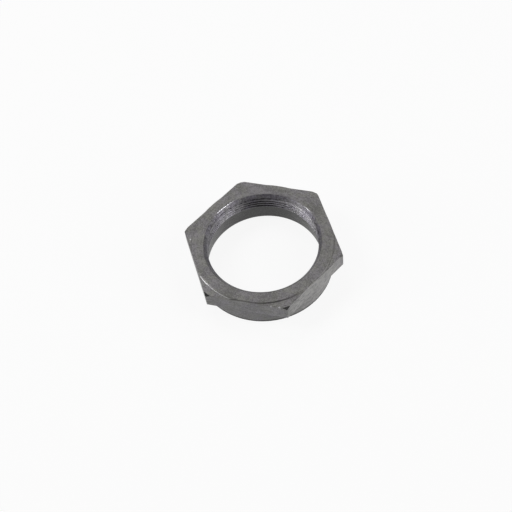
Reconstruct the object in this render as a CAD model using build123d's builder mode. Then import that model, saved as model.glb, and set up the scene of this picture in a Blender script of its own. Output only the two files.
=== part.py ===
from build123d import *
import os
from math import cos, radians, tan

# Thin hexagon nut with a round collar under the head and a fine thread in the head only.
# Millimetres. The axis is Z, and the origin is on the axis at the collar's lower face.

# Head and collar
across_flats = 50.8
overall_height = 14.0
collar_height = 7.4
collar_diameter = 50.1
collar_edge_break = 0.4

# Raised round washer face on the head, just inside the flats, with a 45 degree edge and a rounded foot
washer_face_under_flats = 0.1
washer_face_height = 0.4
washer_face_foot_fillet = 0.4

# 45 degree break at the six upper corner tips
corner_break = 0.85

# Thread, 1 5/8 inch with 20 turns to the inch; its turns are finer than the solid shows
thread_major = 41.275
thread_pitch = 1.27
minor_depth_per_pitch = 1.0825
minor_growth = 0.2
thread_lead_in = 0.5

# Countersunk mouth above the thread
countersink_over_major = 1.325
countersink_angle = 68.0

# Plain relief bore below the thread, as deep as the collar is high
relief_over_major = 1.1
relief_edge_break = 0.3

# How far the turning cut runs past the head's corners
cutter_margin = 1.0

# Sizes that follow from the ones above
head_height = overall_height - collar_height
corner_radius = across_flats / 2 / cos(radians(30))
washer_face_radius = (across_flats - washer_face_under_flats) / 2
washer_face_foot_radius = washer_face_radius + washer_face_height
corner_face_level = overall_height - washer_face_height
corner_break_radius = corner_radius - corner_break
cutter_radius = corner_radius + cutter_margin
cutter_level = corner_face_level - (cutter_radius - corner_break_radius)
thread_minor_radius = (thread_major - minor_depth_per_pitch * thread_pitch + minor_growth) / 2
countersink_radius = (thread_major + countersink_over_major) / 2
countersink_depth = (countersink_radius - thread_minor_radius) / tan(radians(countersink_angle / 2))
relief_radius = (thread_major + relief_over_major) / 2

with BuildPart() as hex_nut:
    # Round collar, which is the seat of the nut
    with BuildSketch(Plane.XY):
        Circle(collar_diameter / 2)
    extrude(amount=collar_height)
    seat_edge = hex_nut.edges().group_by(Axis.Z)[0]
    chamfer(seat_edge, length=collar_edge_break)

    # Hexagon head on the collar, with two corners on X
    with BuildSketch(Plane.XY.offset(collar_height)):
        RegularPolygon(radius=across_flats / 2, side_count=6, major_radius=False)
    extrude(amount=head_height)

    # Turned cut that leaves the washer face standing and breaks the corner tips
    with BuildSketch(Plane.XZ) as turned_cut:
        with BuildLine():
            Polyline(
                (washer_face_radius, overall_height),
                (washer_face_foot_radius, corner_face_level),
                (corner_break_radius, corner_face_level),
                (cutter_radius, cutter_level),
                (cutter_radius, overall_height),
                close=True,
            )
        make_face()
        foot_place = (washer_face_foot_radius, corner_face_level)
        foot = turned_cut.vertices().sort_by_distance(foot_place)[0]
        fillet(foot, radius=washer_face_foot_fillet)
    revolve(axis=Axis.Z, mode=Mode.SUBTRACT)

    # Bore in one turned profile: relief, lead-in, thread wall and countersink
    with BuildSketch(Plane.XZ):
        with BuildLine():
            Polyline(
                (0, 0),
                (relief_radius + relief_edge_break, 0),
                (relief_radius, relief_edge_break),
                (relief_radius, collar_height),
                (thread_minor_radius + thread_lead_in, collar_height),
                (thread_minor_radius, collar_height + thread_lead_in),
                (thread_minor_radius, overall_height - countersink_depth),
                (countersink_radius, overall_height),
                (0, overall_height),
                close=True,
            )
        make_face()
    revolve(axis=Axis.Z, mode=Mode.SUBTRACT)

os.makedirs("parts", exist_ok=True)
hex_nut.part.label = "hex_nut"
export_step(hex_nut.part, "parts/hex_nut.step")
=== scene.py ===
import math

import bmesh
import bpy
from mathutils import Matrix, Vector, noise


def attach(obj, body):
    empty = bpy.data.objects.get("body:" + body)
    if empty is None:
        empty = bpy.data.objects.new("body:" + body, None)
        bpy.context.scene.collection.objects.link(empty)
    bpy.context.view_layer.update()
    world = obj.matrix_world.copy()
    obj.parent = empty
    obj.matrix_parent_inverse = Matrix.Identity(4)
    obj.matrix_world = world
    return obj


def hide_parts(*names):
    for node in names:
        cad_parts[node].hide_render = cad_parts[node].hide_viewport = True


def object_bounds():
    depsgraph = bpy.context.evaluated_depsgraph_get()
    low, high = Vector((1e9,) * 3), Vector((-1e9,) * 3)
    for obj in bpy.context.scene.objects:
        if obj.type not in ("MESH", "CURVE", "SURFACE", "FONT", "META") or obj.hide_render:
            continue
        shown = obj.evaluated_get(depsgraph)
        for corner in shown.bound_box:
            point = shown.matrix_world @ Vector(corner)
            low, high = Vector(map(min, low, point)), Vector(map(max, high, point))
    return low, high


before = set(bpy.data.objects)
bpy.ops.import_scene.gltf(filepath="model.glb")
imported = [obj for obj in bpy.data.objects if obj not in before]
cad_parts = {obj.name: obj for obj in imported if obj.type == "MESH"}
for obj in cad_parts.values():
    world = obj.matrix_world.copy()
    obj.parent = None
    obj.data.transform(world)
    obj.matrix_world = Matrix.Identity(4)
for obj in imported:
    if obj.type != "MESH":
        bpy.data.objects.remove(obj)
cad_low, cad_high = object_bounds()

MM = 0.001

# Half the angle that a side of the hexagon takes round the axis, and half the thread's angle
HALF_SIDE = math.radians(30)
HALF_THREAD = math.radians(30)

# The nut's sizes in millimetres. The first two come from the solid, and the others repeat its source's
HEIGHT = round(cad_high.z / MM, 3)
APOTHEM = round(cad_high.y / MM, 3)
COLLAR_HEIGHT = 7.4
COLLAR_RADIUS = 25.05
COLLAR_BREAK = 0.4
WASHER_FACE_RADIUS = 25.35
WASHER_FACE_HEIGHT = 0.4
FOOT_RADIUS = WASHER_FACE_RADIUS + WASHER_FACE_HEIGHT
CORNER_RADIUS = APOTHEM / math.cos(HALF_SIDE)
CORNER_BREAK_RADIUS = CORNER_RADIUS - 0.85
THREAD_MAJOR = 41.275 / 2
THREAD_MINOR = 20.0501
PITCH = 1.27
HALF_ROOT = PITCH / 16
LEAD_IN = 0.5
MOUTH_RADIUS = 21.3
MOUTH_SLOPE = math.tan(math.radians(34))
MOUTH_FOOT = HEIGHT - (MOUTH_RADIUS - THREAD_MINOR) / MOUTH_SLOPE
RELIEF_RADIUS = 21.1875
RELIEF_BREAK = 0.3

# Roundings that the solid leaves out
FLAT_EDGE = 0.11
UPRIGHT_EDGE = 0.22
TURNED_EDGE = 0.06
COLLAR_EDGE = 0.1
LEDGE_EDGE = 0.2
STEP_FILLET = 0.45
MOUTH_EDGE = 0.05
RUBBED_MOUTH_EDGE = 0.28

# How much the flats' edges vary along them, as a share, and over what radius of the noise
EDGE_VARIATION = 0.45
EDGE_NOISE_RADIUS = 9
UPPER_EDGE_SEED = 0.0
LOWER_EDGE_SEED = 5.0

# Where the thread starts round the axis
THREAD_START = math.radians(20)

# Columns round the axis, besides those that follow the corners' edges, and their least spacing in radians
COLUMNS = 468
LEAST_TURN = 2e-4

# Where columns stand on a rounded upright corner, as shares of half its turn
UPRIGHT_SHARES = (0, 0.35, 0.7, 1.0)

# The finishes, which are the numbers of the material slots
FACED, TURNED, FLAT, COLLAR, BORE, RELIEF, EDGE = range(7)

# Marks round the nut, of wear with painted highlights and painted light, of painted shade, and of darker
# tips: azimuth and half width in degrees, and strength
# The rim's wear at the back also paints the lamps' highlight, besides rounding the edge more
RIM_WEAR_AND_HIGHLIGHT = [(144, 12, 1.8), (52, 7, 0.6)]
# Painted shade on the mouth's rim, strongest at the front
RIM_PAINTED_SHADE = [(270, 85, 1.0)]
# Painted highlight on the ring outside the rim, at the right front
RING_PAINTED_HIGHLIGHT = [(345, 20, 0.08)]
# Painted light on the washer face's slope, towards the back
SLOPE_PAINTED_LIGHT = [(115, 80, 0.08)]
# Painted shade on the washer face's slope, at the front and at the right
SLOPE_PAINTED_SHADE_FRONT = [(286, 24, 1.04)]
SLOPE_PAINTED_SHADE_RIGHT = [(356, 25, 0.35)]
# Wear on the washer face's foot at the front left, which also paints the lamps' highlight there
FOOT_WEAR_AND_HIGHLIGHT = [(229.5, 7, 0.72), (246, 24, 0.34)]
# The corners' tips darker, most at the two front ones
TIPS_DARKER = [(240, 15, 0.5), (300, 15, 0.38)]
# Painted shade on the flats' upper edges, at the back and at the right
UPPER_EDGE_PAINTED_SHADE_BACK = [(105, 115, 0.6)]
UPPER_EDGE_PAINTED_SHADE_RIGHT = [(337, 12, 0.5)]
UPPER_EDGE_RUBBED = [(317, 3.5, 0.14)]
LOWER_EDGE_RUBBED = [(285, 22, 0.3)]
# Scuffs on the flats and the collar at the right front, which also paint them lighter where the light falls
# on that side
FLATS_SCUFFS_AND_LIGHT = [(330, 31, 2.2)]
COLLAR_SCUFFS_AND_LIGHT = [(336, 36, 1.0)]
# Painted light on the mouth's cone, and at its foot on the left
MOUTH_PAINTED_LIGHT = [(70, 28, 0.07), (143, 17, 0.035)]
MOUTH_FOOT_PAINTED_LIGHT = [(195, 32, 0.18)]
# Painted shade on the mouth's cone at the back, and towards its rim at the sides
MOUTH_PAINTED_SHADE = [(102, 16, 0.2)]
MOUTH_RIM_PAINTED_SHADE = [(178, 26, 0.13), (228, 25, 0.15), (355, 25, 0.15)]
# A painted highlight along the first turn under the mouth, at the back right
FIRST_TURN_PAINTED_HIGHLIGHT = [(72, 26, 0.22)]
# A painted sheen on the thread at the back left
THREAD_PAINTED_SHEEN = [(143, 17, 0.14)]
# Painted shade on the thread at the back and the sides
THREAD_PAINTED_SHADE = [(178, 26, 0.13), (228, 25, 0.15), (107, 22, 0.27)]
CREST_WEAR = 0.15
# The crests' wear taken off at the back, where the thread is painted darker for shade
CRESTS_PAINTED_SHADE = [(107, 30, CREST_WEAR)]
# Painted light on the relief's wall at the back right and back left
RELIEF_PAINTED_LIGHT = [(34, 20, 0.06), (165, 20, 0.06)]
# Painted shade on the relief's wall at the back
RELIEF_PAINTED_SHADE = [(100, 40, 0.25)]

# The score that takes the front flat's upper edge off, with its depth in millimetres as the strength
SCORE = [(269, 15, 0.32)]

# The score's painted shade to the millimetre of depth, and the least depth that has an edge's finish
SCORE_PAINTED_SHADE = 1.5
LEAST_SCORE = 0.02

# The most that the washer face's slope and foot are marked, the least darkening on a tip, and the least
# painted shade at the rim
SLOPE_MOST = 0.8
TIP_LEAST = 0.5
RIM_LEAST = 0.25

# Bands across the profile that carry marks, in millimetres: the middle and the reach to either side
FOOT_BAND = (FOOT_RADIUS + 0.08, 0.17)
SLOPE_BAND = (FOOT_RADIUS - 0.12, 0.25)
FIRST_TURN_BAND = (MOUTH_FOOT - 0.06, 0.2)

# The marked ring outside the mouth's rim, where it has ended, and its share of the rim's painted shade
RING_WIDTH = 0.2
RING_END = 0.3
RING_PAINTED_SHADE = 0.35

# The painted shade at the collar's foot, where it stands on the floor: its upper end, and the height over
# which it fades
COLLAR_SHADE_TOP = 1.3
COLLAR_SHADE_FADE = 0.6

# Small bright nicks: their places and radii in millimetres
NICKS = {(11.9, -25.4, 13.43): 0.4, (9.02, -25.4, 13.25): 0.4, (-25.97, -3.53, 13.6): 0.3}

# How far the scuffs and their painted light reach in from a flat and from the collar
FLAT_SKIN = 0.2
COLLAR_SKIN = 0.3


def marks(theta, places):
    """How strong a set of marks is at an azimuth. Each is strongest in its middle."""
    total = 0.0
    for azimuth, half_width, strength in places:
        away = abs((math.degrees(theta) - azimuth + 180) % 360 - 180) / half_width
        total += strength * max(0.0, 1 - away * away)
    return total


def hat(value, middle, reach):
    """1 at the middle, falling in a straight line to 0 on both sides."""
    return max(0.0, 1 - abs(value - middle) / reach)


# Profiles: how far rows of points keep clear of a rounded edge, and how far apart they are beside it
EDGE_CLEARANCE = 0.12
ROW_STEP = 0.3

# How far a profile's line runs on past its ends, so that its end corners can be rounded
RUN_ON = 1

# Rows of points on the washer face, on the upright walls, and on a flat as shares of its height
WASHER_FACE_ROWS = [22.4, 23.6, 24.7]
WALL_LEVELS = (5.6, 3.8, 2.0)
FLAT_SHARES = (0.08, 0.25, 0.5, 0.75, 0.95)

# Where the slope with its foot ends, where a tip's break begins, and from where a flat's upper edge is on it
SLOPE_END = FOOT_RADIUS + 0.2
TIP_START = CORNER_BREAK_RADIUS - 0.02
TIP_EDGE_START = CORNER_BREAK_RADIUS + 0.15

# Where the relief's wall ends, the radii of the plain lower face, and the level where its edges' finish ends
RELIEF_END = RELIEF_RADIUS + 0.01
LOWER_FACE_START = RELIEF_RADIUS + RELIEF_BREAK + 0.1
LOWER_FACE_END = COLLAR_RADIUS - COLLAR_BREAK - 0.1
LOWER_EDGE_LEVEL = COLLAR_BREAK + 0.05


def rounded(points, segments=4):
    """A polyline with its corners rounded, as (x, y). The corners are given as (x, y, radius)."""
    out = []
    for i, (x, y, radius) in enumerate(points):
        p = Vector((x, y))
        if radius == 0 or i in (0, len(points) - 1):
            out.append((x, y))
            continue
        a = (Vector(points[i - 1][:2]) - p).normalized()
        b = (Vector(points[i + 1][:2]) - p).normalized()
        half = a.angle(b) / 2
        reach = radius / math.tan(half)
        centre = p + (a + b).normalized() * (radius / math.sin(half))
        start = p + a * reach - centre
        end = p + b * reach - centre
        for k in range(segments + 1):
            d = start.lerp(end, k / segments).normalized() * radius
            out.append((centre.x + d.x, centre.y + d.y))
    return out


def bend(a, corner, b, count):
    """Points on a curve from a to b that leaves the corner out, without a itself."""
    out = []
    for k in range(1, count + 1):
        t = k / count
        x = (1 - t) ** 2 * a[0] + 2 * t * (1 - t) * corner[0] + t * t * b[0]
        y = (1 - t) ** 2 * a[1] + 2 * t * (1 - t) * corner[1] + t * t * b[1]
        out.append((x, y))
    return out


# The head's top from inside the mouth to past the corners
TOP_LINE = rounded([
    (MOUTH_RADIUS - RUN_ON, HEIGHT, 0),
    (WASHER_FACE_RADIUS, HEIGHT, TURNED_EDGE),
    (FOOT_RADIUS, HEIGHT - WASHER_FACE_HEIGHT, STEP_FILLET),
    (CORNER_BREAK_RADIUS, HEIGHT - WASHER_FACE_HEIGHT, TURNED_EDGE),
    (CORNER_RADIUS + RUN_ON, HEIGHT - WASHER_FACE_HEIGHT - (CORNER_RADIUS + RUN_ON - CORNER_BREAK_RADIUS), 0),
])

TOP_RADII = sorted(WASHER_FACE_ROWS + [FOOT_RADIUS + ROW_STEP] + [r for r, z in TOP_LINE[1:-1]])

# The collar, the lower face and the relief, from the head to the ledge under the thread
LOWER_LINE = rounded([
    (COLLAR_RADIUS + RUN_ON, COLLAR_HEIGHT, 0),
    (COLLAR_RADIUS, COLLAR_HEIGHT, COLLAR_EDGE),
    *((COLLAR_RADIUS, z, 0) for z in WALL_LEVELS),
    (COLLAR_RADIUS, COLLAR_BREAK + 3 * ROW_STEP, 0),
    (COLLAR_RADIUS, COLLAR_BREAK + ROW_STEP, 0),
    (COLLAR_RADIUS, COLLAR_BREAK, COLLAR_EDGE),
    (COLLAR_RADIUS - COLLAR_BREAK, 0, COLLAR_EDGE),
    (COLLAR_RADIUS - COLLAR_BREAK - ROW_STEP, 0, 0),
    (RELIEF_RADIUS + RELIEF_BREAK + ROW_STEP, 0, 0),
    (RELIEF_RADIUS + RELIEF_BREAK, 0, TURNED_EDGE),
    (RELIEF_RADIUS, RELIEF_BREAK, TURNED_EDGE),
    (RELIEF_RADIUS, RELIEF_BREAK + EDGE_CLEARANCE, 0),
    *((RELIEF_RADIUS, z, 0) for z in reversed(WALL_LEVELS)),
    (RELIEF_RADIUS, COLLAR_HEIGHT, LEDGE_EDGE),
    (RELIEF_RADIUS - RUN_ON, COLLAR_HEIGHT, 0),
])[1:-1]


def top_level(r):
    """The level of the head's top at a radius."""
    for (r0, z0), (r1, z1) in zip(TOP_LINE, TOP_LINE[1:]):
        if r <= r1:
            return z0 + (z1 - z0) * (r - r0) / (r1 - r0)
    return TOP_LINE[-1][1]


def upright_edge_turn():
    """Half the angle that a rounded upright corner takes round the axis."""
    centre = (APOTHEM - UPRIGHT_EDGE) / math.cos(HALF_SIDE)
    return math.atan2(UPRIGHT_EDGE / 2, centre + UPRIGHT_EDGE * math.cos(HALF_SIDE))


def hexagon_radius(theta):
    """Distance from the axis to the hexagon's side, its upright corners rounded."""
    psi = abs((theta + HALF_SIDE) % (2 * HALF_SIDE) - HALF_SIDE)
    centre = (APOTHEM - UPRIGHT_EDGE) / math.cos(HALF_SIDE)
    if psi < upright_edge_turn():
        return centre * math.cos(psi) + math.sqrt(UPRIGHT_EDGE ** 2 - (centre * math.sin(psi)) ** 2)
    return APOTHEM / math.cos(HALF_SIDE - psi)


def edge_width(theta, seed):
    """The width of a flat's rounded edge, which varies a little along it."""
    x, y = EDGE_NOISE_RADIUS * math.cos(theta), EDGE_NOISE_RADIUS * math.sin(theta)
    return FLAT_EDGE * (1 + EDGE_VARIATION * noise.noise(Vector((x, y, seed))))


def groove_radius(theta, z):
    """Radius of the thread's wall, a 60 degree right-handed profile."""
    s = (z - PITCH * (theta - THREAD_START) / (2 * math.pi)) % PITCH - PITCH / 2
    r = THREAD_MAJOR - (abs(s) - HALF_ROOT) / math.tan(HALF_THREAD)
    return min(THREAD_MAJOR, max(THREAD_MINOR, r))


def bore_radius(theta, z):
    """Radius of the bore above the relief: the widest of the thread, the mouth's cone and the lead-in."""
    mouth = MOUTH_RADIUS - (HEIGHT - z) * MOUTH_SLOPE
    lead_in = THREAD_MINOR + LEAD_IN - (z - COLLAR_HEIGHT)
    return max(groove_radius(theta, z), mouth, lead_in)


def rim_wear_and_highlight(theta):
    """How far the mouth's rim is rubbed, with the lamps' highlight painted on it at the back."""
    return min(1.0, marks(theta, RIM_WEAR_AND_HIGHLIGHT))


def mouth_edge(theta):
    """The rounded edge between the mouth's cone and the washer face, as (r, z)."""
    edge = MOUTH_EDGE + (RUBBED_MOUTH_EDGE - MOUTH_EDGE) * rim_wear_and_highlight(theta)
    return rounded([
        (MOUTH_RADIUS - RUN_ON * MOUTH_SLOPE, HEIGHT - RUN_ON, 0),
        (MOUTH_RADIUS, HEIGHT, edge),
        (MOUTH_RADIUS + RUN_ON, HEIGHT, 0),
    ], segments=5)[1:-1]


# Columns of points round the axis

def column_angles():
    """Azimuths of the columns: evenly spaced, and where the turned edges cross the hexagon's sides."""
    special = [share * upright_edge_turn() for share in UPRIGHT_SHARES]
    for r in (WASHER_FACE_RADIUS, FOOT_RADIUS, CORNER_BREAK_RADIUS):
        for shift in (-FLAT_EDGE, 0, FLAT_EDGE):
            if r + shift > APOTHEM:
                special.append(HALF_SIDE - math.acos(APOTHEM / (r + shift)))
    angles = {round(k * 2 * math.pi / COLUMNS, 9) for k in range(COLUMNS)}
    for corner in range(6):
        for psi in special:
            for side in (-1, 1):
                angles.add(round((2 * HALF_SIDE * corner + side * psi) % (2 * math.pi), 9))
    ordered = sorted(angles)
    kept = [ordered[0]]
    for a in ordered[1:]:
        if a - kept[-1] > LEAST_TURN and a < 2 * math.pi - LEAST_TURN:
            kept.append(a)
    return kept


# The rows of a column, as (r, z, wear and painted light, painted shade and darker tips, zone)

def rim_rows(theta):
    """The mouth's rim, bright where it is rubbed and has a painted highlight, with painted shade all round,
    most at the front.
    """
    rubbed_and_lit = rim_wear_and_highlight(theta)
    front = marks(theta, RIM_PAINTED_SHADE)
    # Painted shade on the rim, darkest at the front and none where the highlight is
    darkening = (RIM_LEAST + (1 - RIM_LEAST) * front) * (1 - rubbed_and_lit)
    rows = [(r, z, rubbed_and_lit, darkening, EDGE) for r, z in mouth_edge(theta)]
    # The ring outside the rim: a painted highlight at the right front and painted shade at the front
    rows.append((MOUTH_RADIUS + RING_WIDTH, HEIGHT, marks(theta, RING_PAINTED_HIGHLIGHT), RING_PAINTED_SHADE * front, EDGE))
    rows.append((MOUTH_RADIUS + RING_END, HEIGHT, 0.0, 0.0, EDGE))
    return rows


def top_rows(theta, end, tip):
    """The washer face, its slope and its foot, and the corner's turned face and tip."""
    # The foot's wear with its painted highlight
    foot = min(SLOPE_MOST, marks(theta, FOOT_WEAR_AND_HIGHLIGHT))
    # Painted shade on the slope at the front and the right
    slope = min(SLOPE_MOST, marks(theta, SLOPE_PAINTED_SHADE_FRONT)) + marks(theta, SLOPE_PAINTED_SHADE_RIGHT)
    rows = []
    for r in TOP_RADII:
        q = min(r, end - EDGE_CLEARANCE)
        wear_and_light, darkening, zone = foot * hat(q, *FOOT_BAND), 0.0, TURNED
        if r < WASHER_FACE_RADIUS:
            zone = FACED
        elif r < SLOPE_END:
            # Painted light on the slope towards the back
            wear_and_light = max(wear_and_light, marks(theta, SLOPE_PAINTED_LIGHT))
            darkening = slope * hat(q, *SLOPE_BAND)
            zone = EDGE
        elif r > TIP_START:
            darkening, zone = tip, EDGE
        rows.append((q, top_level(q), wear_and_light, darkening, zone))
    return rows


def flat_rows(theta, side, end, width, tip):
    """The flat with its upper and lower edges."""
    level = top_level(side)
    score = marks(theta, SCORE)
    rubbed_and_lit = marks(theta, UPPER_EDGE_RUBBED)
    # Painted shade on the upper edge at the back and right and in the score
    darkening = max(marks(theta, UPPER_EDGE_PAINTED_SHADE_BACK), marks(theta, UPPER_EDGE_PAINTED_SHADE_RIGHT), SCORE_PAINTED_SHADE * score)
    if side > TIP_EDGE_START:
        darkening = max(darkening, tip)
    rows = [(end, top_level(end), 0.0, darkening, EDGE)]
    for r, z in bend((end, top_level(end)), (side, level), (side, level - width), count=4):
        rows.append((r, z, rubbed_and_lit, darkening, EDGE))
    upper = level - width - score
    rows.append((side, upper, rubbed_and_lit, darkening, EDGE if score > LEAST_SCORE else FLAT))
    low = edge_width(theta, LOWER_EDGE_SEED)
    lower = COLLAR_HEIGHT + low
    for share in FLAT_SHARES:
        wear_and_light = rubbed_and_lit if share == FLAT_SHARES[0] else 0.0
        rows.append((side, upper + (lower - upper) * share, wear_and_light, 0.0, FLAT))
    rubbed_and_lit = marks(theta, LOWER_EDGE_RUBBED)
    rows.append((side, lower, rubbed_and_lit, 0.0, FLAT))
    for r, z in bend((side, lower), (side, COLLAR_HEIGHT), (side - low, COLLAR_HEIGHT), count=3):
        rows.append((r, z, rubbed_and_lit, 0.0, COLLAR))
    return rows


def lower_rows(theta):
    """The collar, the lower face and the relief bore."""
    rows = []
    for r, z in LOWER_LINE:
        if r < RELIEF_END:
            zone = EDGE if z < LOWER_EDGE_LEVEL else RELIEF
            # Painted light on the relief's wall at the back sides and painted shade at the back
            rows.append((r, z, marks(theta, RELIEF_PAINTED_LIGHT), marks(theta, RELIEF_PAINTED_SHADE), zone))
        elif LOWER_FACE_START < r < LOWER_FACE_END:
            rows.append((r, z, 0.0, 0.0, FACED))
        else:
            zone = EDGE if z < LOWER_EDGE_LEVEL else COLLAR
            # Painted shade at the collar's foot, where it meets the floor
            darkening = max(0.0, min(1.0, (COLLAR_SHADE_TOP - z) / COLLAR_SHADE_FADE))
            rows.append((r, z, 0.0, darkening, zone))
    return rows


def outer_rows(theta):
    """The outer profile from the mouth's rim round to the relief's ledge."""
    side = hexagon_radius(theta)
    width = edge_width(theta, UPPER_EDGE_SEED)
    end = side - width
    # Every tip is darker, the front ones most
    tip = TIP_LEAST + marks(theta, TIPS_DARKER)
    head = rim_rows(theta) + top_rows(theta, end, tip) + flat_rows(theta, side, end, width, tip)
    return head + lower_rows(theta)


# The rows of one turn of the thread, by distance from the groove's middle: its root, its flank and its crest
FLANK_STEPS = (0.17, 0.26)
CREST_STEP = 0.05
HALF_GROOVE = HALF_ROOT + (THREAD_MAJOR - THREAD_MINOR) * math.tan(HALF_THREAD)
HALF_TURN = [HALF_ROOT, *FLANK_STEPS, HALF_GROOVE - CREST_STEP, HALF_GROOVE, HALF_GROOVE + CREST_STEP]
TURN_STEPS = [-PITCH / 2] + [-s for s in reversed(HALF_TURN)] + [0.0] + HALF_TURN

# The turns that the bore's wall may meet, with two to spare at each end
TURNS = range(int((COLLAR_HEIGHT - 2 * PITCH) / PITCH), int((HEIGHT + 2 * PITCH) / PITCH) + 1)


def bore_rows(theta, z_high):
    """The bore's wall from the ledge up to the mouth's rim, in steps that follow the thread's turns."""
    rows = []
    # The crests' wear, less at the back where it gives way to painted shade
    worn_crest = CREST_WEAR - marks(theta, CRESTS_PAINTED_SHADE)
    for turn in TURNS:
        for s in TURN_STEPS:
            z = PITCH * (turn + 0.5 + (theta - THREAD_START) / (2 * math.pi)) + s
            q = min(max(z, COLLAR_HEIGHT), z_high)
            r = bore_radius(theta, q)
            if q < MOUTH_FOOT:
                # Painted sheen at the back left
                wear_and_light = marks(theta, THREAD_PAINTED_SHEEN)
                # Painted shade at the back and the sides
                darkening = marks(theta, THREAD_PAINTED_SHADE)
            else:
                up = (q - MOUTH_FOOT) / (z_high - MOUTH_FOOT)
                # Painted light on the mouth's cone, fading up from its foot on the left
                wear_and_light = marks(theta, MOUTH_PAINTED_LIGHT) + marks(theta, MOUTH_FOOT_PAINTED_LIGHT) * (1 - up)
                # Painted shade on the cone, growing towards the rim at the sides
                darkening = marks(theta, MOUTH_PAINTED_SHADE) + marks(theta, MOUTH_RIM_PAINTED_SHADE) * up
            # The painted highlight along the first turn
            wear_and_light += marks(theta, FIRST_TURN_PAINTED_HIGHLIGHT) * hat(q, *FIRST_TURN_BAND)
            if r < THREAD_MINOR + CREST_STEP:
                wear_and_light = max(wear_and_light, worn_crest)
            rows.append((r, q, wear_and_light, darkening))
    return rows


def scuffs_and_light(theta, r, z):
    """How scuffed a point is, with painted light: the outer faces at the right front, where the light falls.
    """
    if z > COLLAR_HEIGHT:
        return min(1.0, marks(theta, FLATS_SCUFFS_AND_LIGHT)) if r > hexagon_radius(theta) - FLAT_SKIN else 0.0
    return marks(theta, COLLAR_SCUFFS_AND_LIGHT) if r > COLLAR_RADIUS - COLLAR_SKIN else 0.0


def nut_faces(outer, zones, bore):
    """The faces between neighbouring columns, as the points of each face and its finish."""
    faces, slots = [], []

    def add(points, zone):
        distinct = tuple(dict.fromkeys(points))
        if len(distinct) > 2:
            faces.append(distinct)
            slots.append(zone)

    count = len(outer)
    for j in range(count):
        a, b = outer[j], outer[(j + 1) % count]
        for k in range(len(a) - 1):
            add((a[k], b[k], b[k + 1], a[k + 1]), zones[j][k + 1])
        add((a[-1], b[-1], bore[(j + 1) % count][0], bore[j][0]), RELIEF)
        a, b = bore[j], bore[(j + 1) % count]
        shift = len(TURN_STEPS) if j == count - 1 else 0
        for k in range(len(a) - 1):
            if k + shift + 1 < len(b):
                add((a[k], b[k + shift], b[k + shift + 1], a[k + 1]), BORE)
            else:
                add((a[k], b[-1], a[k + 1]), BORE)
    return faces, slots


# Points nearer than this, in metres, are one, and shorter edges than this go
MERGE_DISTANCE = 1e-6
SHORTEST_EDGE = 1e-7

# Edges that turn more than this stay sharp
SHARP_ANGLE = math.radians(38)


def clean(mesh):
    """Closes the seams between the columns and the bore, and shades the mesh smooth but for sharp edges."""
    bm = bmesh.new()
    bm.from_mesh(mesh)
    bmesh.ops.remove_doubles(bm, verts=bm.verts, dist=MERGE_DISTANCE)
    bmesh.ops.dissolve_degenerate(bm, edges=bm.edges, dist=SHORTEST_EDGE)
    bmesh.ops.recalc_face_normals(bm, faces=bm.faces)
    bm.to_mesh(mesh)
    bm.free()
    for polygon in mesh.polygons:
        polygon.use_smooth = True
    mesh.set_sharp_from_angle(angle=SHARP_ANGLE)


def make_nut():
    points, wear_and_light, dark, scuff_and_light = [], [], [], []

    def add(theta, r, z, rubbed_and_lit, darkening):
        points.append((r * math.cos(theta) * MM, r * math.sin(theta) * MM, z * MM))
        wear_and_light.append(rubbed_and_lit)
        dark.append(darkening)
        scuff_and_light.append(scuffs_and_light(theta, r, z))
        return len(points) - 1

    outer, zones, bore = [], [], []
    for theta in column_angles():
        rows = outer_rows(theta)
        rim_level = rows[0][1]
        outer.append([add(theta, *row[:4]) for row in rows])
        zones.append([row[4] for row in rows])
        bore.append([add(theta, *row) for row in bore_rows(theta, rim_level)])
    faces, slots = nut_faces(outer, zones, bore)
    mesh = bpy.data.meshes.new("nut_body")
    mesh.from_pydata(points, [], faces)
    mesh.polygons.foreach_set("material_index", slots)
    # The first attribute carries wear together with painted highlights and painted light, the second painted
    # shade and the darker tips, and the third scuffs with painted light
    for name, values in (("wear_and_light", wear_and_light), ("dark", dark), ("scuff_and_light", scuff_and_light)):
        mesh.attributes.new(name, "FLOAT", "POINT").data.foreach_set("value", values)
    clean(mesh)
    nut = bpy.data.objects.new("nut_body", mesh)
    bpy.context.scene.collection.objects.link(nut)
    weighted = nut.modifiers.new("weighted", "WEIGHTED_NORMAL")
    weighted.keep_sharp = True
    return nut


# Materials

# The worn colours, WORN_AND_LIT and BRIGHT, also paint highlights and light where the marks put them;
# SCUFFED_AND_LIT also paints light on the right front faces
WORN_AND_LIT = (0.42, 0.42, 0.43)
BRIGHT = (0.66, 0.65, 0.69)
SCUFFED_AND_LIT = (0.315, 0.31, 0.3)
WARM = (1.0, 1.0, 0.95)
COOL = (1.0, 0.975, 1.02)
WHITE = (1.0, 1.0, 1.0)

# The middle of the mottle's tone, and how far either side of it the greys change at contrast 1
TONE_MIDDLE = 0.65
TONE_SPREAD = 0.13

# The shares of the clouds, the mottle, the specks and the tool marks in that tone
TONE_SHARES = (0.25, 0.3, 0.5, 0.25)

# The values of the noise between which the tint, the roughness, the scuffs with their painted light and the
# specks in the wear and painted light change
TINT_RANGE = (0.42, 0.58)
ROUGHNESS_RANGE = (0.3, 0.7)
SCUFF_RANGE = (0.82, 1.18)
SPECK_RANGE = (0.35, 0.5)

# The least and the most of its strength that a scuff, with its painted light, has in its patches
SCUFF_SHARES = (0.1, 0.9)

# Cells of the noise to the millimetre
CLOUD_SCALE = 0.16
TINT_SCALE = 0.3
MOTTLE_SCALE = 0.8
SPECK_SCALE = 2.0
GRAIN_SCALE = 4.5

# Cells in the turned tool marks, to the millimetre across them and to the radian round the axis
TURNED_MARKS = 4.5
MARKS_ROUND = 2.0

# Cells to the millimetre in a flat's tool marks, along it and across it
MARKS_ALONG = 0.4
MARKS_ACROSS = 2.0

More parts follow.
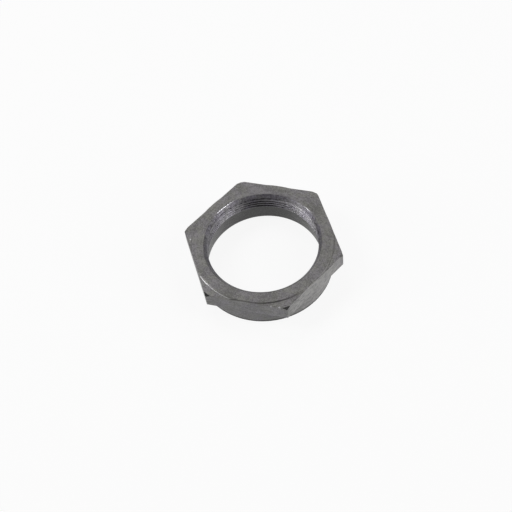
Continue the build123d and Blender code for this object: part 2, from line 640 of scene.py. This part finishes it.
# Cells in the drawn out specks: how many times the tool marks' round the axis, and to the millimetre down
STREAKS_ROUND = 15.0
STREAKS_DOWN = 3.0

# What the roughness varies by, what full darkening adds to it, and what full wear and painted light take off
ROUGHNESS_SWING = 0.06
DARKENING_ROUGHNESS = 0.4
WEAR_POLISH = 0.24

# How far above its foot the mouth's cone has its full roughness
CONE_FADE = 0.15


def rgba(colour):
    return (*colour, 1.0)


class Nodes:
    """Short calls for the node tree of a material or of the world."""

    def __init__(self, owner):
        self.owner = owner
        owner.use_nodes = True
        self.tree = owner.node_tree
        self.tree.nodes.clear()

    def node(self, kind, **values):
        n = self.tree.nodes.new(kind)
        for key, value in values.items():
            setattr(n, key, value)
        return n

    def link(self, a, b):
        self.tree.links.new(a, b)

    def put(self, socket, value):
        if isinstance(value, bpy.types.NodeSocket):
            self.link(value, socket)
        else:
            socket.default_value = value

    def math(self, operation, a, b=0.0, clamp=False):
        n = self.node("ShaderNodeMath", operation=operation, use_clamp=clamp)
        self.put(n.inputs[0], a)
        self.put(n.inputs[1], b)
        return n.outputs[0]

    def times(self, a, b):
        return self.math("MULTIPLY", a, b)

    def noise(self, vector, scale, detail=2.0, rough=0.5):
        n = self.node("ShaderNodeTexNoise")
        self.link(vector, n.inputs["Vector"])
        n.inputs["Scale"].default_value = scale
        n.inputs["Detail"].default_value = detail
        n.inputs["Roughness"].default_value = rough
        return n.outputs["Fac"]

    def span(self, value, from_low, from_high, low, high):
        n = self.node("ShaderNodeMapRange")
        n.inputs["From Min"].default_value = from_low
        n.inputs["From Max"].default_value = from_high
        n.inputs["To Min"].default_value = low
        n.inputs["To Max"].default_value = high
        self.link(value, n.inputs["Value"])
        return n.outputs["Result"]

    def mix(self, share, a, b, blend="MIX"):
        n = self.node("ShaderNodeMix", data_type="RGBA", blend_type=blend)
        self.put(n.inputs["Factor"], share)
        self.put(n.inputs[6], a)
        self.put(n.inputs[7], b)
        return n.outputs[2]

    def combine(self, x, y, z):
        n = self.node("ShaderNodeCombineXYZ")
        self.put(n.inputs[0], x)
        self.put(n.inputs[1], y)
        self.put(n.inputs[2], z)
        return n.outputs[0]

    def attribute(self, name):
        return self.node("ShaderNodeAttribute", attribute_name=name).outputs["Fac"]

    def mix_shaders(self, share, a, b):
        n = self.node("ShaderNodeMixShader")
        self.link(share, n.inputs[0])
        self.link(a.outputs[0], n.inputs[1])
        self.link(b.outputs[0], n.inputs[2])
        return n

    def seen(self):
        """1 for what the camera, a reflection or glass sees, and 0 for the light that falls on things."""
        path = self.node("ShaderNodeLightPath")
        share = self.math("ADD", path.outputs["Is Camera Ray"], path.outputs["Is Glossy Ray"])
        return self.math("ADD", share, path.outputs["Is Transmission Ray"], clamp=True)


def coordinates(m):
    """The point's place in millimetres, and its x, y, z and distance from the axis."""
    scaled = m.node("ShaderNodeVectorMath", operation="SCALE")
    m.link(m.node("ShaderNodeTexCoord").outputs["Object"], scaled.inputs[0])
    scaled.inputs["Scale"].default_value = 1 / MM
    mm = scaled.outputs[0]
    split = m.node("ShaderNodeSeparateXYZ")
    m.link(mm, split.inputs[0])
    x, y, z = split.outputs
    length = m.node("ShaderNodeVectorMath", operation="LENGTH")
    m.link(m.combine(x, y, 0.0), length.inputs[0])
    return mm, x, y, z, length.outputs["Value"]


def nicks(m, mm):
    """1 in the nicks and 0 elsewhere."""
    share = 0.0
    for place, radius in NICKS.items():
        away = m.node("ShaderNodeVectorMath", operation="DISTANCE")
        m.link(mm, away.inputs[0])
        away.inputs[1].default_value = place
        share = m.math("MAXIMUM", share, m.span(away.outputs["Value"], radius / 2, radius, 1.0, 0.0))
    return share


def bumped_normal(m, heights, depths):
    """The normal with one bump on another, the depths in millimetres."""
    normal = None
    for height, depth in zip(heights, depths):
        bump = m.node("ShaderNodeBump")
        bump.inputs["Strength"].default_value = 1.0
        bump.inputs["Distance"].default_value = depth * MM
        m.link(height, bump.inputs["Height"])
        if normal:
            m.link(normal, bump.inputs["Normal"])
        normal = bump.outputs[0]
    return normal


def steel(name, dark, light, metallic, rough, tool, bumps, worn_and_lit=WORN_AND_LIT, scuffed_and_lit=None, darkened=None, ior=1.5,
          contrast=1.0, even=0.55, streaked=False, duller_mouth=0.0):
    """Phosphated steel.

    dark and light are the greys that the mottle runs between, and more contrast makes it run harder. tool is
    how the tool marks run: "faced" in rings on a level face, "level" in rings on a wall, and "flats" along
    the flats. bumps is the depths in millimetres of the tool marks, of the grain and of the specks, which
    are drawn out down the wall where streaked is set. worn, scuffed and sooty are the colours of the marks:
    the first of wear together with painted highlights and painted light, the second of scuffs together with
    painted light, and the third of painted shade and of the darker tips. even is the share of its strength
    that wear and painted light keep between the specks. duller_mouth is what the mouth's cone adds to the
    roughness.
    """
    m = Nodes(bpy.data.materials.new(name))
    mm, x, y, z, radius = coordinates(m)
    round_x = m.times(m.math("DIVIDE", x, radius), MARKS_ROUND)
    round_y = m.times(m.math("DIVIDE", y, radius), MARKS_ROUND)
    if tool == "faced":
        run = m.combine(round_x, round_y, m.times(radius, TURNED_MARKS))
    elif tool == "level":
        run = m.combine(round_x, round_y, m.times(z, TURNED_MARKS))
    else:
        run = m.combine(m.times(x, MARKS_ALONG), m.times(y, MARKS_ALONG), m.times(z, MARKS_ACROSS))
    lines = m.noise(run, 1.0, detail=3.0, rough=0.6)
    cloud = m.noise(mm, CLOUD_SCALE, detail=3.0, rough=0.55)
    mottle = m.noise(mm, MOTTLE_SCALE, detail=3.0, rough=0.6)
    speck = m.noise(mm, SPECK_SCALE, rough=0.6)
    if streaked:
        around = m.times(round_x, STREAKS_ROUND), m.times(round_y, STREAKS_ROUND)
        speck = m.noise(m.combine(*around, m.times(z, STREAKS_DOWN)), 1.0, rough=0.6)
    grain = m.noise(mm, GRAIN_SCALE, rough=0.6)

    tone = 0.0
    for layer, share in zip((cloud, mottle, speck, lines), TONE_SHARES):
        tone = m.math("ADD", tone, m.times(layer, share))
    spread = TONE_SPREAD / contrast
    base = m.mix(m.span(tone, TONE_MIDDLE - spread, TONE_MIDDLE + spread, 0.0, 1.0), rgba(dark), rgba(light))
    tint = m.mix(m.span(m.noise(mm, TINT_SCALE), *TINT_RANGE, 0.0, 1.0), rgba(WARM), rgba(COOL))
    base = m.mix(1.0, base, tint, "MULTIPLY")
    roughness = m.span(mottle, *ROUGHNESS_RANGE, rough - ROUGHNESS_SWING, rough + ROUGHNESS_SWING)
    # Scuffs, which also paint light on the right front faces
    if scuffed_and_lit:
        patches = m.span(m.math("ADD", lines, mottle), *SCUFF_RANGE, *SCUFF_SHARES)
        base = m.mix(m.times(m.attribute("scuff_and_light"), patches), base, rgba(scuffed_and_lit))
    # The dark attribute paints shade, and the darker tips, in its colour and makes them rougher
    if darkened:
        darkening = m.attribute("dark")
        base = m.mix(darkening, base, rgba(darkened))
        roughness = m.math("ADD", roughness, m.times(darkening, DARKENING_ROUGHNESS))
    if duller_mouth:
        cone = m.span(z, MOUTH_FOOT, MOUTH_FOOT + CONE_FADE, 0.0, duller_mouth)
        roughness = m.math("ADD", roughness, cone)

    # Wear, with painted highlights and painted light: the worn colour, more metal and less roughness
    specks = m.span(speck, *SPECK_RANGE, even, 1.0)
    rubbed_and_lit = m.math("MULTIPLY", m.attribute("wear_and_light"), specks, clamp=True)
    if tool != "level":
        rubbed_and_lit = m.math("MAXIMUM", rubbed_and_lit, nicks(m, mm))
    shader = m.node("ShaderNodeBsdfPrincipled")
    m.link(m.mix(rubbed_and_lit, base, rgba(worn_and_lit)), shader.inputs["Base Color"])
    m.link(m.span(rubbed_and_lit, 0.0, 1.0, metallic, 1.0), shader.inputs["Metallic"])
    m.link(m.math("SUBTRACT", roughness, m.times(rubbed_and_lit, WEAR_POLISH)), shader.inputs["Roughness"])
    m.link(bumped_normal(m, (lines, grain, speck), bumps), shader.inputs["Normal"])
    shader.inputs["IOR"].default_value = ior
    m.link(shader.outputs[0], m.node("ShaderNodeOutputMaterial").inputs["Surface"])
    return m.owner


def nut_materials():
    """In the order of the finishes."""
    # The colours for the dark attribute paint shade and the darker tips; the worn colours also paint
    # highlights and light
    return [
        steel("steel_faced", dark=(0.119, 0.117, 0.116), light=(0.228, 0.224, 0.222), contrast=1.9,
              metallic=0.35, rough=0.5, tool="faced", bumps=(0.01, 0.04, 0.06)),
        steel("steel_turned", dark=(0.12, 0.118, 0.117), light=(0.235, 0.231, 0.229), contrast=1.9,
              metallic=0.35, rough=0.48, tool="faced", bumps=(0.02, 0.04, 0.07)),
        steel("steel_flat", dark=(0.099, 0.098, 0.1), light=(0.218, 0.216, 0.22), contrast=1.3,
              metallic=0.35, rough=0.42, tool="flats", bumps=(0.03, 0.04, 0.06), scuffed_and_lit=SCUFFED_AND_LIT),
        steel("steel_collar", dark=(0.087, 0.086, 0.088), light=(0.187, 0.185, 0.189), contrast=1.3,
              metallic=0.35, rough=0.42, tool="level", bumps=(0.02, 0.04, 0.06), scuffed_and_lit=SCUFFED_AND_LIT,
              darkened=(0.05, 0.05, 0.05)),
        steel("steel_thread", dark=(0.05, 0.048, 0.054), light=(0.24, 0.233, 0.253), contrast=1.1,
              metallic=0.8, rough=0.38, tool="level", bumps=(0.02, 0.03, 0.03), worn_and_lit=BRIGHT,
              darkened=(0.015, 0.015, 0.017), even=0.85, streaked=True, duller_mouth=0.09),
        steel("steel_relief", dark=(0.02, 0.02, 0.019), light=(0.09, 0.089, 0.086), contrast=1.4,
              metallic=0.1, rough=0.34, tool="level", bumps=(0.02, 0.04, 0.09), darkened=(0.01, 0.01, 0.01),
              ior=1.6),
        steel("steel_edge", dark=(0.11, 0.108, 0.105), light=(0.22, 0.216, 0.21), metallic=0.35, rough=0.4,
              tool="faced", bumps=(0.004, 0.009, 0.013), worn_and_lit=BRIGHT, scuffed_and_lit=SCUFFED_AND_LIT,
              darkened=(0.02, 0.02, 0.02), even=0.85),
    ]


# Floor, light and camera

FLOOR_REACH = 3.0
FLOOR_GREY = (0.85, 0.85, 0.85)
SEEN_WHITE = 0.9

# A hair below the nut's lower face, so that the two don't coincide
FLOOR_LEVEL = -0.00005

# Sines of the elevations between which the world's white band fades
BAND_FULL = 0.2
BAND_END = 0.32

# Azimuth and elevation in degrees, and power. Azimuth is counted from +X towards +Y
LAMPS = {
    "lamp_right_low": (345, 10, 2.1),
    "lamp_right_middle": (13, 26, 1.75),
    "lamp_right_high": (0, 50, 1.6),
    "lamp_left_low": (205, 10, 2.6),
    "lamp_left_high": (193, 50, 2.8),
    "lamp_back_high": (130, 60, 1.6),
    "lamp_back_low": (90, 30, 1.05),
}
LAMP_DISTANCE = 0.9
LAMP_SIZE = 0.35

# The photograph's viewpoint, fitted to its outlines: angles in degrees, and millimetres from the nut's origin
CAMERA_AZIMUTH = 20.242
CAMERA_ELEVATION = 56.16
CAMERA_ROLL = -8.151
CAMERA_TARGET = (-2.4527, -2.0215, 7.0)
CAMERA_DISTANCE = 381.0
CAMERA_LENS = 73.8005
SENSOR_WIDTH = 36.0


def make_floor():
    """A pale floor that takes the nut's shadow and that the camera and reflections see as white."""
    mesh = bpy.data.meshes.new("floor")
    corners = ((-1, -1), (1, -1), (1, 1), (-1, 1))
    points = [(x * FLOOR_REACH, y * FLOOR_REACH, FLOOR_LEVEL) for x, y in corners]
    mesh.from_pydata(points, [], [(0, 1, 2, 3)])
    floor = bpy.data.objects.new("floor", mesh)
    bpy.context.scene.collection.objects.link(floor)
    m = Nodes(bpy.data.materials.new("floor_white"))
    plain = m.node("ShaderNodeBsdfDiffuse")
    plain.inputs["Color"].default_value = rgba(FLOOR_GREY)
    bright = m.node("ShaderNodeEmission")
    bright.inputs["Color"].default_value = rgba(WHITE)
    bright.inputs["Strength"].default_value = 1.0
    both = m.mix_shaders(m.times(m.seen(), SEEN_WHITE), plain, bright)
    m.link(both.outputs[0], m.node("ShaderNodeOutputMaterial").inputs["Surface"])
    mesh.materials.append(m.owner)


def make_world():
    """Dark, with a white band along the horizon that only the camera and reflections see."""
    world = bpy.data.worlds.new("studio")
    bpy.context.scene.world = world
    m = Nodes(world)
    split = m.node("ShaderNodeSeparateXYZ")
    m.link(m.node("ShaderNodeTexCoord").outputs["Generated"], split.inputs[0])
    band = m.span(split.outputs["Z"], BAND_FULL, BAND_END, 1.0, 0.0)
    dark = m.node("ShaderNodeBackground")
    dark.inputs["Strength"].default_value = 0.0
    white = m.node("ShaderNodeBackground")
    white.inputs["Color"].default_value = rgba(WHITE)
    white.inputs["Strength"].default_value = SEEN_WHITE
    both = m.mix_shaders(m.times(m.seen(), band), dark, white)
    m.link(both.outputs[0], m.node("ShaderNodeOutputWorld").inputs["Surface"])


def make_lamp(name, azimuth, elevation, power):
    """A square soft lamp that looks at the nut."""
    a, e = math.radians(azimuth), math.radians(elevation)
    centre = Vector((0, 0, HEIGHT / 2 * MM))
    away = Vector((math.cos(a) * math.cos(e), math.sin(a) * math.cos(e), math.sin(e)))
    light = bpy.data.lights.new(name, "AREA")
    light.shape = "SQUARE"
    light.size = LAMP_SIZE
    light.energy = power
    lamp = bpy.data.objects.new(name, light)
    lamp.visible_camera = False
    bpy.context.scene.collection.objects.link(lamp)
    lamp.location = centre + away * LAMP_DISTANCE
    lamp.rotation_euler = away.to_track_quat("Z", "Y").to_euler()


def make_camera():
    """At the photograph's viewpoint, with its azimuth counted from -Y towards +X."""
    azimuth, elevation = math.radians(CAMERA_AZIMUTH), math.radians(CAMERA_ELEVATION)
    roll = math.radians(CAMERA_ROLL)
    back = Vector((
        math.sin(azimuth) * math.cos(elevation),
        -math.cos(azimuth) * math.cos(elevation),
        math.sin(elevation),
    ))
    level = Vector((math.cos(azimuth), math.sin(azimuth), 0))
    up = back.cross(level)
    right_axis = level * math.cos(roll) + up * math.sin(roll)
    up_axis = up * math.cos(roll) - level * math.sin(roll)
    data = bpy.data.cameras.new("camera")
    data.sensor_width = SENSOR_WIDTH
    data.lens = CAMERA_LENS
    data.clip_start = 0.01
    camera = bpy.data.objects.new("camera", data)
    bpy.context.scene.collection.objects.link(camera)
    turn = Matrix((right_axis, up_axis, back)).transposed().to_4x4()
    place = (Vector(CAMERA_TARGET) + back * CAMERA_DISTANCE) * MM
    camera.matrix_world = Matrix.Translation(place) @ turn
    bpy.context.scene.camera = camera


nut = make_nut()
for material in nut_materials():
    nut.data.materials.append(material)
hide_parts("hex_nut")
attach(nut, "root")

make_floor()
make_world()
for lamp_name, (azimuth, elevation, power) in LAMPS.items():
    make_lamp(lamp_name, azimuth, elevation, power)
make_camera()

bpy.context.scene.view_settings.view_transform = "Standard"
